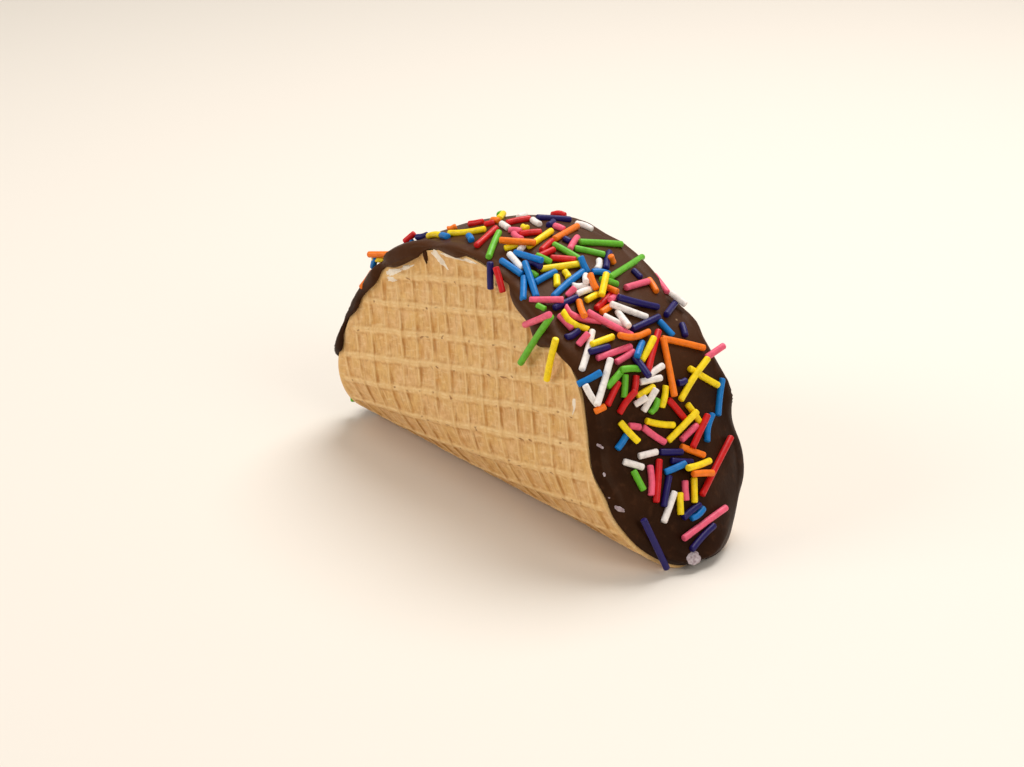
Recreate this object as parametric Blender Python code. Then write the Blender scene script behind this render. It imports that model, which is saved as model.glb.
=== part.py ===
"""Ice cream taco: a folded waffle shell, its ice cream filling and a chocolate coat with sprinkles.

The fold runs along X and lies on the floor at Z = 0, the flaps stand up on both sides of it.
A flap is laid out flat first: x runs along the fold and s up the flap from the fold's foot line.
Its round edge is given by an angle and a radius about the flap's middle.
"""
import math
import random

import bmesh
import bpy
from mathutils import Matrix, Vector, noise

MM = 0.001
GAP = 0.3 * MM                    # clear space between neighbouring pieces
SHARP_ANGLE = math.radians(75)    # edges that turn less than this are shaded smooth

# Folded waffle
FOLD_RADIUS = 20.7 * MM           # outer radius of the round fold
FLAP_LEAN = math.radians(4.3)     # how far each flap leans in over the filling
WAFFLE_THICKNESS = 1.8 * MM
FLAP_MIDDLE = 15.2 * MM           # up the flap from the foot line to the middle of its round edge
FOOT_HALF = 5.0 * MM              # half width of the strip pressed flat by its own weight
FLAP_WAVE = 0.35 * MM             # how far a flap bows in and out
FLAP_WAVE_RUNS = (17 * MM, 41 * MM, 30 * MM)
BLANK_STEPS = 44                  # corners along one flap's cut edge
# Round edge of a flap: degrees about its middle, millimetres out from it
RIM = ((-16, 62.6), (-8, 61.4), (0, 58.2), (8, 56.3), (16, 54.8), (25, 52.8), (34, 54.4),
       (43, 57.0), (56, 56.8), (75, 56.2), (95, 56.3), (118, 55.6), (140, 54.8), (160, 53.5),
       (172, 52.8), (184, 53.9), (198, 53.6))
# How much wider the far flap is than the near one
FAR_RIM = ((-16, 0.0), (-6, -0.7), (0, -1.5), (6, -2.0), (16, -1.8), (25, 0.4), (31, 0.5), (38, 0.0),
           (50, -1.7), (60, -2.4), (75, -0.8), (110, -0.4), (150, 0.5), (198, 0.0))
RIM_RIGHT = math.radians(-15.5)   # search range for the rim's two ends on the foot line
RIM_LEFT = math.radians(198)

# Waffle pattern
PITCH_ALONG = 6.23 * MM
PITCH_UP = 6.90 * MM
PATTERN_TURN = math.radians(12.5)
PATTERN_SHIFT = (-2.2 * MM, 1.95 * MM)
PATTERN_CELLS = 24
RIDGE_HALF = 0.95 * MM
POCKET_DEPTH = 0.55 * MM
PLAIN_MARGIN = 3.0 * MM           # the pattern runs out towards the rim and the foot
MERGE = 1e-6

# Filling and coat
STATIONS = 50                     # slices along the rim, shared by the filling and the coat
LOWEST_SLICE = 2.6 * MM           # the coat starts this far up the flap at each end
CROWN = 2.4 * MM                  # how far the filling domes out between the flaps
COAT = 1.8 * MM
COAT_ROUND = 1.0 * MM             # how quickly the coat thickens behind its edge
COAT_START = 0.25 * MM            # keeps the coat's edge from running out to nothing
LUMP = 0.55 * MM
LUMP_SIZE = 13.0 * MM
LUMP_FADE = 6.0 * MM              # the lumps run out towards the coat's edge
FACE_RINGS = (0.2, 0.42, 1.0)     # rings of the filling's flat faces, as shares of the way to the rim
FOOT_STEPS = 10
INNER_STEPS = (-0.55, 0.0, 0.55)
OUTER_STEPS = (-0.82, -0.54, -0.27, 0.0, 0.27, 0.54, 0.82)
EDGE_CURVE = 0.12                 # place of the coat's second edge point, as a share of its lap
EDGE_OVER = (0.45, 0.85)          # place of the third one: shares of the cut edge and of the lap
EDGE_CORNER = 0.05 * MM
BRINK_TURN = 2.0 * MM             # way in which the lift turns round the rim
# How far the coat laps down over the near and the far flap: degrees, millimetres; below 0 it stops
# on the cut edge
LAP_NEAR = ((-16, -1.0), (6, -1.2), (12, -0.9), (16, -1.1), (22, -0.3), (28, -0.8), (41, -0.9),
            (46, -0.15), (50, 0.9), (53, 1.7), (57, 5.2), (62, 3.5), (69, 2.9), (73.5, 0.0), (78, 0.5),
            (82, -0.4), (86, -0.5), (90, 0.0), (94, 1.3), (103.5, 0.0), (107, 0.3), (111, 1.6),
            (120, 1.9), (125.4, 0.3), (131, 1.8), (139, 1.3), (143.5, 1.8), (149.5, 0.2),
            (153, 0.5), (157.5, 1.7), (160, 0.5), (164, -1.6), (198, -1.6))
LAP_FAR = ((-16, -1.0), (-4, 0.0), (6, -0.3), (12, 0.7), (17, 0.5), (24, -0.2), (28, 0.5), (31.5, 2.8),
           (35, 0.8), (40, -0.35), (45, -0.4), (50, 0.7), (56, 0.2), (63, 0.8), (76, 1.0), (84, 0.2),
           (96, 1.2), (112, 0.1), (130, 1.1), (150, 0.2), (165, 0.9), (180, -0.2), (198, -1.0))
# How much thicker the coat is along its near edge: degrees, share of its thickness
SWELL = ((-16, 0.45), (35, 0.45), (48, 0.2), (60, 0.0), (104, 0.0), (109, 0.4), (114, 0.7), (120, 0.75),
         (126, 0.4), (131, -0.1), (137, -0.4), (146, -0.4), (150, -0.25), (158, -0.2), (166, 0.0),
         (198, 0.0))
SWELL_FULL = 1.2 * MM             # where it is at its full, behind the coat's edge
SWELL_RUN = 5.0 * MM

# Sprinkles
SPRINKLE_RADIUS = 0.78 * MM
SPRINKLE_LENGTHS = (4.0 * MM, 9.5 * MM)
SPRINKLE_SIDES = 5
SPRINKLE_SEED = 56
SINK = 0.4                        # share of the radius that lies in the chocolate
PILED = 1.5                       # distance between two crossing middle lines, in radii
# Sprinkles that hang over the near rim: where they rest on it in degrees, millimetres beyond it,
# then degrees and millimetres inside the rim of the free end
OVERHANGS = ((57, 5, 58.5, 12), (52, 2, 48.5, 7.5), (59.5, 5.5, 63, 3.5), (79.5, 2, 78.5, 3),
             (76, 2.5, 74, 1.5))
# The others are strewn most thickly on the top: degrees, relative number
STREWN_COUNT = 127
STREWN_WIDTH = 0.88               # share of the coat's width
CROWD = ((2, 1.0), (30, 1.4), (60, 2.0), (105, 2.0), (130, 1.0), (188, 0.6))


def smooth_through(knots, at):
    """Value at a place on a smooth curve through the given (place, value) knots."""
    last = len(knots) - 1
    i = max(k for k in range(last) if k == 0 or knots[k][0] <= at)
    (x0, y0), (x1, y1) = knots[i], knots[i + 1]
    before, after = knots[max(i - 1, 0)], knots[min(i + 2, last)]
    slope0 = (y1 - before[1]) / (x1 - before[0])
    slope1 = (after[1] - y0) / (after[0] - x0)
    span = x1 - x0
    t = min(max((at - x0) / span, 0.0), 1.0)
    return ((2 * t**3 - 3 * t**2 + 1) * y0 + (t**3 - 2 * t**2 + t) * span * slope0
            + (3 * t**2 - 2 * t**3) * y1 + (t**3 - t**2) * span * slope1)


def ease(share):
    """Soft step from 0 to 1."""
    share = min(max(share, 0.0), 1.0)
    return share * share * (3 - 2 * share)


def fold_turn(s):
    """Angle by which the sheet has turned up at s."""
    return min(abs(s) / FOLD_RADIUS, math.pi / 2 + FLAP_LEAN)


def fold_point(x, s, height):
    """Bend a point of the flat sheet: positive s is the near flap, height is above the outer face."""
    turn = fold_turn(s)
    straight = abs(s) - FOLD_RADIUS * turn
    side = -1 if s >= 0 else 1
    short, long, up_flap = FLAP_WAVE_RUNS
    wave = math.sin(x / short + side) * math.sin(x / long + s / up_flap)
    height += FLAP_WAVE * wave * ease((abs(s) - FLAP_MIDDLE) / (2 * FLAP_MIDDLE))
    out = FOLD_RADIUS * math.sin(turn) + straight * math.cos(turn) + height * math.sin(turn)
    up = FOLD_RADIUS * (1 - math.cos(turn)) + straight * math.sin(turn) - height * math.cos(turn)
    return Vector((x, side * out, up - foot_rise()))


def foot_rise():
    """Height that pressing the foot strip flat takes off the round fold."""
    return FOLD_RADIUS * (1 - math.cos(FOOT_HALF / FOLD_RADIUS))


def off_floor(point, clear=GAP):
    """The point, lifted where it would be closer to the floor than that."""
    return Vector((point.x, point.y, max(point.z, clear)))


def rim_radius(angle, side=-1):
    """Radius of the near flap's rim at side -1, of the far one's at side 1."""
    radius = smooth_through(RIM, math.degrees(angle))
    if side > 0:
        radius += smooth_through(FAR_RIM, math.degrees(angle))
    return radius * MM


def flap_place(angle, radius):
    """Flat place (x, s) at an angle and a radius about the flap's middle."""
    return radius * math.cos(angle), FLAP_MIDDLE + radius * math.sin(angle)


def rim_end(inside, outside, height):
    """Angle at which the rim comes down to the given s, between an angle above it and one below."""
    while abs(inside - outside) > MERGE:
        middle = (inside + outside) / 2
        if flap_place(middle, rim_radius(middle))[1] > height:
            inside = middle
        else:
            outside = middle
    return inside


def rim_angles(count, lowest):
    """Evenly spaced angles along the rim, from its right end over the top to its left end."""
    right = rim_end(math.pi / 2, RIM_RIGHT, lowest)
    left = rim_end(math.pi / 2, RIM_LEFT, lowest)
    return [right + (left - right) * i / count for i in range(count + 1)]


def material(name, colour, roughness):
    made = bpy.data.materials.new(name)
    made.use_nodes = True
    shader = made.node_tree.nodes["Principled BSDF"]
    shader.inputs["Base Color"].default_value = (*colour, 1)
    shader.inputs["Roughness"].default_value = roughness
    shader.inputs["Metallic"].default_value = 0.0
    return made


def add_object(name, bm, finish=None, collection=None):
    """Write a bmesh to a new object."""
    bmesh.ops.recalc_face_normals(bm, faces=bm.faces)
    mesh = bpy.data.meshes.new(name)
    bm.to_mesh(mesh)
    bm.free()
    if finish:
        mesh.materials.append(finish)
    made = bpy.data.objects.new(name, mesh)
    (collection or bpy.context.scene.collection).objects.link(made)
    return made


def apply_modifiers(target):
    """Replace an object's mesh by its evaluated one."""
    evaluated = target.evaluated_get(bpy.context.evaluated_depsgraph_get())
    mesh = bpy.data.meshes.new_from_object(evaluated)
    target.modifiers.clear()
    target.data = mesh


def patterned_slab():
    """Flat slab with square pockets between ridges, its outer face up at height 0."""
    bm = bmesh.new()
    bmesh.ops.create_grid(bm, x_segments=PATTERN_CELLS, y_segments=PATTERN_CELLS, size=0.5)
    size = Matrix.Diagonal((PITCH_ALONG * PATTERN_CELLS, PITCH_UP * PATTERN_CELLS, 1, 1))
    shift = Matrix.Translation((*PATTERN_SHIFT, 0))
    bmesh.ops.transform(bm, verts=bm.verts, matrix=Matrix.Rotation(PATTERN_TURN, 4, "Z") @ shift @ size)
    outer = bm.faces[:]
    back = bmesh.ops.extrude_face_region(bm, geom=outer, use_keep_orig=True)["geom"]
    sunk = [v for v in back if isinstance(v, bmesh.types.BMVert)]
    bmesh.ops.translate(bm, verts=sunk, vec=(0, 0, -WAFFLE_THICKNESS))
    bmesh.ops.recalc_face_normals(bm, faces=bm.faces)
    bmesh.ops.inset_individual(bm, faces=outer, thickness=RIDGE_HALF, depth=-POCKET_DEPTH)
    return bm


def blank_outline(count):
    """Flat outline of the waffle: the near flap's rim, then back along the far one's."""
    angles = rim_angles(count, 0)
    near = [flap_place(angle, rim_radius(angle)) for angle in angles]
    far = [flap_place(angle, rim_radius(angle, 1)) for angle in reversed(angles[1:-1])]
    return near + [(x, -s) for x, s in far]


def waffle_shell(finish):
    """Cut the patterned slab to the blank's outline, then fold it."""
    shell = add_object("waffle_shell", patterned_slab(), finish)
    bm = bmesh.new()
    corners = blank_outline(BLANK_STEPS)
    bottom = bm.faces.new([bm.verts.new((x, s, -2 * WAFFLE_THICKNESS)) for x, s in corners])
    top = bmesh.ops.extrude_face_region(bm, geom=[bottom], use_keep_orig=True)["geom"]
    raised = [v for v in top if isinstance(v, bmesh.types.BMVert)]
    bmesh.ops.translate(bm, verts=raised, vec=(0, 0, 3 * WAFFLE_THICKNESS))
    cutter = add_object("blank_cutter", bm)
    trim = shell.modifiers.new("trim", "BOOLEAN")
    trim.operation = "INTERSECT"
    trim.object = cutter
    apply_modifiers(shell)
    bpy.data.objects.remove(cutter)

    bm = bmesh.new()
    bm.from_mesh(shell.data)
    for vert in bm.verts:
        if vert.co.z > -WAFFLE_THICKNESS / 2:
            vert.co.z *= pattern_strength(vert.co.x, vert.co.y)
    for edge in (-FOOT_HALF, FOOT_HALF):
        bmesh.ops.bisect_plane(bm, geom=bm.verts[:] + bm.edges[:] + bm.faces[:],
                               plane_co=(0, edge, 0), plane_no=(0, 1, 0), dist=MERGE)
    bmesh.ops.triangulate(bm, faces=bm.faces)
    for vert in bm.verts:
        outside = vert.co.z > -WAFFLE_THICKNESS / 2
        vert.co = fold_point(*vert.co)
        if outside:
            vert.co.z = max(vert.co.z, 0.0)
    bm.to_mesh(shell.data)
    bm.free()
    return shell


def pattern_strength(x, s):
    """Share of the pockets' full depth: they run out towards the rim and the foot."""
    angle = math.atan2(abs(s) - FLAP_MIDDLE, x)
    angle += 2 * math.pi if angle < RIM_RIGHT else 0
    inside = rim_radius(angle, -1 if s > 0 else 1) - math.hypot(x, abs(s) - FLAP_MIDDLE)
    return ease(inside / PLAIN_MARGIN) * ease((abs(s) - FOOT_HALF) / PLAIN_MARGIN)


def lap(angle, side):
    return smooth_through(LAP_NEAR if side < 0 else LAP_FAR, math.degrees(angle)) * MM


def cut_edge():
    """Length of the coat's way over the waffle's cut edge."""
    return WAFFLE_THICKNESS + 2 * GAP


def brink(angle, side, way, lift):
    """Point above the waffle's edge: way counts down the outer face, and below 0 over the cut edge."""
    out = rim_radius(angle, side) + GAP - max(way, 0)
    height = GAP + min(way, 0)
    tilt = math.pi / 2 * ease(way / BRINK_TURN + 0.5)
    out += lift * math.cos(tilt)
    height += lift * math.sin(tilt)
    x, s = flap_place(angle, out)
    return fold_point(x, -side * max(s, 0), height)


def outward(angle):
    """Direction away from the filling, at right angles to the fold's width."""
    s = max(flap_place(angle, rim_radius(angle))[1], 0)
    return Vector((math.cos(angle), 0, math.sin(angle) * math.sin(fold_turn(s)))).normalized()


def crown_point(angle, across, beyond):
    """Point on the dome between the flaps: across runs from -1 at the near rim to 1 at the far one."""
    ends = []
    for side in (-1, 1):
        x, s = flap_place(angle, rim_radius(angle, side) + beyond)
        ends.append(fold_point(x, -side * max(s, 0), -WAFFLE_THICKNESS - GAP))
    dome = CROWN * (1 - across * across) * ease((s - LOWEST_SLICE / 2) / (3 * LOWEST_SLICE))
    return ends[0].lerp(ends[1], (across + 1) / 2) + outward(angle) * dome


def coat_lift(angle, side, distance):
    """Coat thickness at a distance behind its edge."""
    thickness = COAT * (1 - math.exp(-(distance + COAT_START) / COAT_ROUND))
    if side < 0:
        swell = smooth_through(SWELL, math.degrees(angle))
        reach = ease(distance / SWELL_FULL) * ease(1 - (distance - SWELL_FULL) / SWELL_RUN)
        thickness *= 1 + swell * reach
    return thickness


def coat_top(angle, across):
    """Point on the coat's outer face between the two flaps."""
    base = crown_point(angle, across, GAP)
    half = abs(crown_point(angle, 1, GAP).y)
    side = -1 if across < 0 else 1
    distance = lap(angle, side) + cut_edge() + (1 - abs(across)) * half
    lump = LUMP * noise.noise(base / LUMP_SIZE) * ease(distance / LUMP_FADE)
    return off_floor(base + outward(angle) * (coat_lift(angle, side, distance) + lump))


def coat_edge(angle, side):
    """Outer points of the coat from its edge, over the waffle's cut edge, to the flap's inner corner."""
    edge = lap(angle, side)
    whole = edge + cut_edge()
    over = EDGE_OVER[0] * min(whole, cut_edge()) + EDGE_OVER[1] * max(edge, 0)
    return [off_floor(brink(angle, side, edge - way, coat_lift(angle, side, way)))
            for way in (0, EDGE_CURVE * whole, over, whole)]


def coat_ring(angle):
    """Closed outline of the coat at one place along the rim."""
    ring = []
    for side in (-1, 1):
        edge = lap(angle, side)
        inner = [off_floor(brink(angle, side, way, 0), GAP / 2)
                 for way in (-cut_edge(), min(edge, 0) - EDGE_CORNER, edge)]
        chain = inner + coat_edge(angle, side)
        ring.append(chain if side < 0 else chain[::-1])
    top = [coat_top(angle, across) for across in OUTER_STEPS]
    under = [crown_point(angle, across, GAP) for across in reversed(INNER_STEPS)]
    return ring[0] + top + ring[1] + under


def loft(bm, rings):
    """Skin closed rings of equal length and cap both ends."""
    rows = [[bm.verts.new(p) for p in ring] for ring in rings]
    for one, two in zip(rows, rows[1:]):
        for i in range(len(one)):
            j = (i + 1) % len(one)
            bm.faces.new((one[i], one[j], two[j], two[i]))
    for row in (rows[0], rows[-1]):
        bm.faces.new(row)


def chocolate_coating(finish):
    bm = bmesh.new()
    loft(bm, [coat_ring(angle) for angle in rim_angles(STATIONS, LOWEST_SLICE)])
    bmesh.ops.triangulate(bm, faces=bm.faces)
    return add_object("chocolate_coating", bm, finish)


def ice_cream(finish):
    """Filling: a flat face against each flap, folded with it, and a dome between their rims."""
    bm = bmesh.new()
    angles = rim_angles(STATIONS, LOWEST_SLICE)
    right, left = (flap_place(angle, rim_radius(angle) - GAP)[0] for angle in (angles[0], angles[-1]))
    foot = [(left + (right - left) * i / FOOT_STEPS, 0.0) for i in range(FOOT_STEPS + 1)]
    depth = -WAFFLE_THICKNESS - 2 * GAP
    dome = [[] for _ in angles]
    for side in (-1, 1):
        outline = [flap_place(angle, rim_radius(angle, side) - GAP) for angle in angles] + foot
        rows = []
        for share in FACE_RINGS:
            row = []
            for x, s in outline:
                up_flap = FLAP_MIDDLE + (s - FLAP_MIDDLE) * share
                row.append(bm.verts.new(fold_point(x * share, -side * up_flap, depth)))
            rows.append(row)
        middle = bm.verts.new(fold_point(0, -side * FLAP_MIDDLE, depth))
        count = len(outline)
        for i in range(count):
            j = (i + 1) % count
            bm.faces.new((middle, rows[0][i], rows[0][j]))
            for one, two in zip(rows, rows[1:]):
                bm.faces.new((one[i], two[i], two[j], one[j]))
        for row, vert in zip(dome, rows[-1]):
            row.append(vert)
    for row, angle in zip(dome, angles):
        row[1:1] = [bm.verts.new(crown_point(angle, across, -GAP / 3)) for across in INNER_STEPS]
    for one, two in zip(dome, dome[1:]):
        for i in range(len(one) - 1):
            bm.faces.new((one[i], one[i + 1], two[i + 1], two[i]))
    for row, end in ((dome[0], right), (dome[-1], left)):
        bm.faces.new(row + [bm.verts.new(fold_point(end, 0, depth))])
    bmesh.ops.remove_doubles(bm, verts=bm.verts, dist=MERGE)
    bmesh.ops.triangulate(bm, faces=bm.faces)
    return add_object("ice_cream", bm, finish)


def sprinkle(name, start, end, collection):
    """Short rod with domed ends."""
    bm = bmesh.new()
    axis = (end - start).normalized()
    across = axis.orthogonal().normalized()
    rows = []
    for place in (start, end):
        row = []
        for i in range(SPRINKLE_SIDES):
            turn = Matrix.Rotation(2 * math.pi * i / SPRINKLE_SIDES, 3, axis)
            row.append(bm.verts.new(place + turn @ across * SPRINKLE_RADIUS))
        rows.append(row)
    tips = [bm.verts.new(start - axis * SPRINKLE_RADIUS / 2), bm.verts.new(end + axis * SPRINKLE_RADIUS / 2)]
    for i in range(SPRINKLE_SIDES):
        j = (i + 1) % SPRINKLE_SIDES
        bm.faces.new((rows[0][i], rows[0][j], rows[1][j], rows[1][i]))
        bm.faces.new((tips[0], rows[0][j], rows[0][i]))
        bm.faces.new((tips[1], rows[1][i], rows[1][j]))
    return add_object(name, bm, None, collection)


def crowd_angle(share):
    """Angle along the rim below which the given share of the sprinkles lies."""
    first, last = CROWD[0][0], CROWD[-1][0]
    steps = 200
    places = [first + (last - first) * i / steps for i in range(steps)]
    weights = [smooth_through(CROWD, place) for place in places]
    left = share * sum(weights)
    for place, weight in zip(places, weights):
        if left < weight:
            return math.radians(place)
        left -= weight
    return math.radians(last)


def seat(angle, across):
    """Middle of a sprinkle pressed into the coat, with the coat's directions along, over and out."""
    step = 0.01
    here = coat_top(angle, across)
    along = (coat_top(angle + step, across) - here).normalized()
    over = coat_top(angle, across + step) - here
    over = (over - along * over.dot(along)).normalized()
    out = over.cross(along)
    if out.dot(outward(angle)) < 0:
        out = -out
    return here + out * SPRINKLE_RADIUS * (1 - SINK), along, over, out


def strewn_ends(draw, index):
    """Two ends of one of the strewn sprinkles, and its direction out."""
    golden = (math.sqrt(5) - 1) / 2
    angle = crowd_angle((index + 0.5) / STREWN_COUNT)
    across = STREWN_WIDTH * (2 * ((index * golden) % 1) - 1)
    half = draw.uniform(*SPRINKLE_LENGTHS) / 2
    heading = draw.uniform(0, math.pi)
    centre, along, over, out = seat(angle, across)
    reach = (along * math.cos(heading) + over * math.sin(heading)) * half
    return centre - reach, centre + reach, out


def overhang_ends(held, beyond, free, inside):
    """The same for one that rests on the coat at the near rim and reaches over the flap."""
    held, free = math.radians(held), math.radians(free)
    lift = coat_lift(held, -1, lap(held, -1)) + SPRINKLE_RADIUS * (1 - SINK)
    rest = brink(held, -1, GAP, lift)
    x, s = flap_place(free, rim_radius(free) - inside * MM)
    tip = fold_point(x, s, SPRINKLE_RADIUS + 1.5 * GAP)
    return rest + (rest - tip).normalized() * beyond * MM, tip, outward(held)


def closest_shares(start, end, other_start, other_end):
    """Where two rods come closest, as shares of their lengths."""
    one, two, apart = end - start, other_end - other_start, start - other_start
    skew = one.length_squared * two.length_squared - one.dot(two) ** 2
    share = 0.5
    if skew > (MERGE * MM) ** 2:
        share = (one.dot(two) * two.dot(apart) - two.length_squared * one.dot(apart)) / skew
    share = min(max(share, 0.0), 1.0)
    other = min(max((two.dot(apart) + share * one.dot(two)) / two.length_squared, 0.0), 1.0)
    share = min(max((other * one.dot(two) - one.dot(apart)) / one.length_squared, 0.0), 1.0)
    return share, other


def pile_up(rods):
    """Lean each sprinkle on the ones laid before it that it crosses, and keep it off the floor."""
    clear = PILED * SPRINKLE_RADIUS
    piled = []
    for start, end, out in rods:
        for other_start, other_end in piled:
            share, other = closest_shares(start, end, other_start, other_end)
            apart = start.lerp(end, share) - other_start.lerp(other_end, other)
            if apart.length < clear:
                lift = out * (clear - apart.dot(out))
                if share > 0.5:
                    end = end + lift / share
                else:
                    start = start + lift / (1 - share)
        lowest = Vector((0, 0, GAP + SPRINKLE_RADIUS - min(start.z, end.z)))
        if lowest.z > 0:
            start, end = start + lowest, end + lowest
        piled.append((start, end))
    return piled


def fuse_sprinkles(coat):
    """Lay the sprinkles on the coat and join them to it."""
    heap = bpy.data.collections.new("sprinkles")
    bpy.context.scene.collection.children.link(heap)
    draw = random.Random(SPRINKLE_SEED)
    rods = [overhang_ends(*places) for places in OVERHANGS]
    rods += [strewn_ends(draw, index) for index in range(STREWN_COUNT)]
    for index, (start, end) in enumerate(pile_up(rods)):
        sprinkle(f"sprinkle_{index}", start, end, heap)
    join = coat.modifiers.new("join", "BOOLEAN")
    join.operation = "UNION"
    join.operand_type = "COLLECTION"
    join.collection = heap
    apply_modifiers(coat)
    for rod in heap.objects[:]:
        bpy.data.objects.remove(rod)
    bpy.data.collections.remove(heap)
    keep_largest_body(coat)


def keep_largest_body(target):
    """Drop sealed hollows and loose scraps that joining left behind."""
    bm = bmesh.new()
    bm.from_mesh(target.data)
    bmesh.ops.triangulate(bm, faces=bm.faces)
    unseen = set(bm.verts)
    bodies = []
    while unseen:
        front = [unseen.pop()]
        body = set(front)
        while front:
            for edge in front.pop().link_edges:
                for vert in edge.verts:
                    if vert in unseen:
                        unseen.discard(vert)
                        body.add(vert)
                        front.append(vert)
        bodies.append(body)
    bodies.sort(key=len)
    spare = [vert for body in bodies[:-1] for vert in body]
    bmesh.ops.delete(bm, geom=spare, context="VERTS")
    bm.to_mesh(target.data)
    bm.free()


def main():
    for old in bpy.data.objects[:]:
        bpy.data.objects.remove(old)
    waffle = material("waffle", (0.66, 0.42, 0.19), 0.7)
    cream = material("ice_cream", (0.86, 0.80, 0.68), 0.5)
    chocolate = material("dark_chocolate", (0.045, 0.022, 0.013), 0.35)
    shell = waffle_shell(waffle)
    filling = ice_cream(cream)
    coat = chocolate_coating(chocolate)
    fuse_sprinkles(coat)
    for made in (shell, filling, coat):
        made.data.shade_smooth()
        made.data.set_sharp_from_angle(angle=SHARP_ANGLE)


main()
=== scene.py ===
import math
import random

import bmesh
import bpy
from mathutils import Matrix, Vector, noise


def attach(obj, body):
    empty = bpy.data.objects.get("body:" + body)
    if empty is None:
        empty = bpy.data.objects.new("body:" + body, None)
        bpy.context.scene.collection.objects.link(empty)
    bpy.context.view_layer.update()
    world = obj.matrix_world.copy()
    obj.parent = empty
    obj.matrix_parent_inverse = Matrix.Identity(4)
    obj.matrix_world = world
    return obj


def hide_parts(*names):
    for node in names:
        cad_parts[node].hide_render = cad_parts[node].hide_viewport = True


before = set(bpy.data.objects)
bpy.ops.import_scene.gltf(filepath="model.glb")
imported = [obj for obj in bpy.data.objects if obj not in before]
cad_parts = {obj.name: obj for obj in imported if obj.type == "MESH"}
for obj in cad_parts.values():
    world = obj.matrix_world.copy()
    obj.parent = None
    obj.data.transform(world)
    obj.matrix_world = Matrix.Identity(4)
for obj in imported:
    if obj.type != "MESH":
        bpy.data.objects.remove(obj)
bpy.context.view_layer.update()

MM = 0.001
GAP = 0.3 * MM                    # clear space between neighbouring pieces

# The folded waffle, as in the solids
FOLD_RADIUS = 20.7 * MM
FLAP_LEAN = math.radians(4.3)
WAFFLE_THICKNESS = 1.8 * MM
FLAP_MIDDLE = 15.2 * MM
FOOT_HALF = 5.0 * MM
FLAP_WAVE = 0.35 * MM
FLAP_WAVE_RUNS = (17 * MM, 41 * MM, 30 * MM)
# Round edge of a flap: degrees about its middle, millimetres out from it
RIM = ((-16, 62.6), (-8, 61.4), (0, 58.2), (8, 56.3), (16, 54.8), (25, 52.8), (34, 54.4),
       (43, 57.0), (56, 56.8), (75, 56.2), (95, 56.3), (118, 55.6), (140, 54.8), (160, 53.5),
       (172, 52.8), (184, 53.9), (198, 53.6))
# How much wider the far flap is than the near one
FAR_RIM = ((-16, 0.0), (-6, -0.7), (0, -1.5), (6, -2.0), (16, -1.8), (25, 0.4), (31, 0.5), (38, 0.0),
           (50, -1.7), (60, -2.4), (75, -0.8), (110, -0.4), (150, 0.5), (198, 0.0))
RIM_RIGHT = math.radians(-15.5)
RIM_LEFT = math.radians(198)
BLANK_STEPS = 240                 # corners along one flap's cut edge

# Waffle pattern: its pitch is that of the solids, and the ridges get their true profile here
PITCH_ALONG = 6.23 * MM
PITCH_UP = 6.90 * MM
PATTERN_TURN = math.radians(12.5)
PATTERN_SHIFT = (-2.2 * MM, 1.95 * MM)
PATTERN_REACH = (11, 12)          # cells on each side of the middle, along and up
POCKET_DEPTH = 0.5 * MM
PLAIN_MARGIN = 3.0 * MM
UPRIGHT_RIDGE = 0.5 * MM          # half width of the thin ridges that run up the flaps
LEVEL_RIDGE = 0.85 * MM           # half width of the broad ridges along the fold
ACROSS_CELL = (0.0, 0.05, 0.1, 0.16, 0.24, 0.36, 0.5, 0.64, 0.76, 0.84, 0.9, 0.95)
GRID_DRIFT = 0.05                 # how far the ridges wander, as a share of a cell
DRIFT_SIZE = 9 * MM               # over about so far
SHELL_SHARP = math.radians(60)    # edges that turn less than this are shaded smooth
MERGE = 1e-6

# Filling and coat
STATIONS = 300
LOWEST_SLICE = 2.6 * MM
CROWN = 2.4 * MM
COAT = 1.8 * MM
COAT_ROUND = 1.0 * MM
COAT_START = 0.25 * MM
LUMP = 0.55 * MM
LUMP_SIZE = 13.0 * MM
LUMP_FADE = 6.0 * MM
RIPPLE = 0.16 * MM                # small unevenness of the poured chocolate
RIPPLE_SIZE = 4.5 * MM
COAT_SHARP = math.radians(70)
TOP_STEPS = 56
UNDER_STEPS = 6
EDGE_WAYS = (0.0, 0.01, 0.03, 0.06, 0.1, 0.15, 0.21, 0.28, 0.36, 0.45, 0.56, 0.68, 0.8, 0.9, 1.0)
EDGE_CORNER = 0.05 * MM
BRINK_TURN = 2.0 * MM             # way in which the lift turns round the rim
# How far the coat laps down over the near and the far flap: degrees, millimetres; below 0 it stops
# on the cut edge
LAP_NEAR = ((-16, -1.0), (6, -1.2), (12, -0.9), (16, -1.1), (22, -0.3), (28, -0.8), (41, -0.9),
            (46, -0.15), (50, 0.9), (53, 1.7), (57, 5.2), (62, 3.5), (69, 2.9), (73.5, 0.0), (78, 0.5),
            (82, -0.4), (86, -0.5), (90, 0.0), (94, 1.3), (103.5, 0.0), (107, 0.3), (111, 1.6),
            (120, 1.9), (125.4, 0.3), (131, 1.8), (139, 1.3), (143.5, 1.8), (149.5, 0.2),
            (153, 0.5), (157.5, 1.7), (160, 0.5), (164, -1.6), (198, -1.6))
LAP_FAR = ((-16, -1.0), (-4, 0.0), (6, -0.3), (12, 0.7), (17, 0.5), (24, -0.2), (28, 0.5), (31.5, 2.8),
           (35, 0.8), (40, -0.35), (45, -0.4), (50, 0.7), (56, 0.2), (63, 0.8), (76, 1.0), (84, 0.2),
           (96, 1.2), (112, 0.1), (130, 1.1), (150, 0.2), (165, 0.9), (180, -0.2), (198, -1.0))
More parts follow.
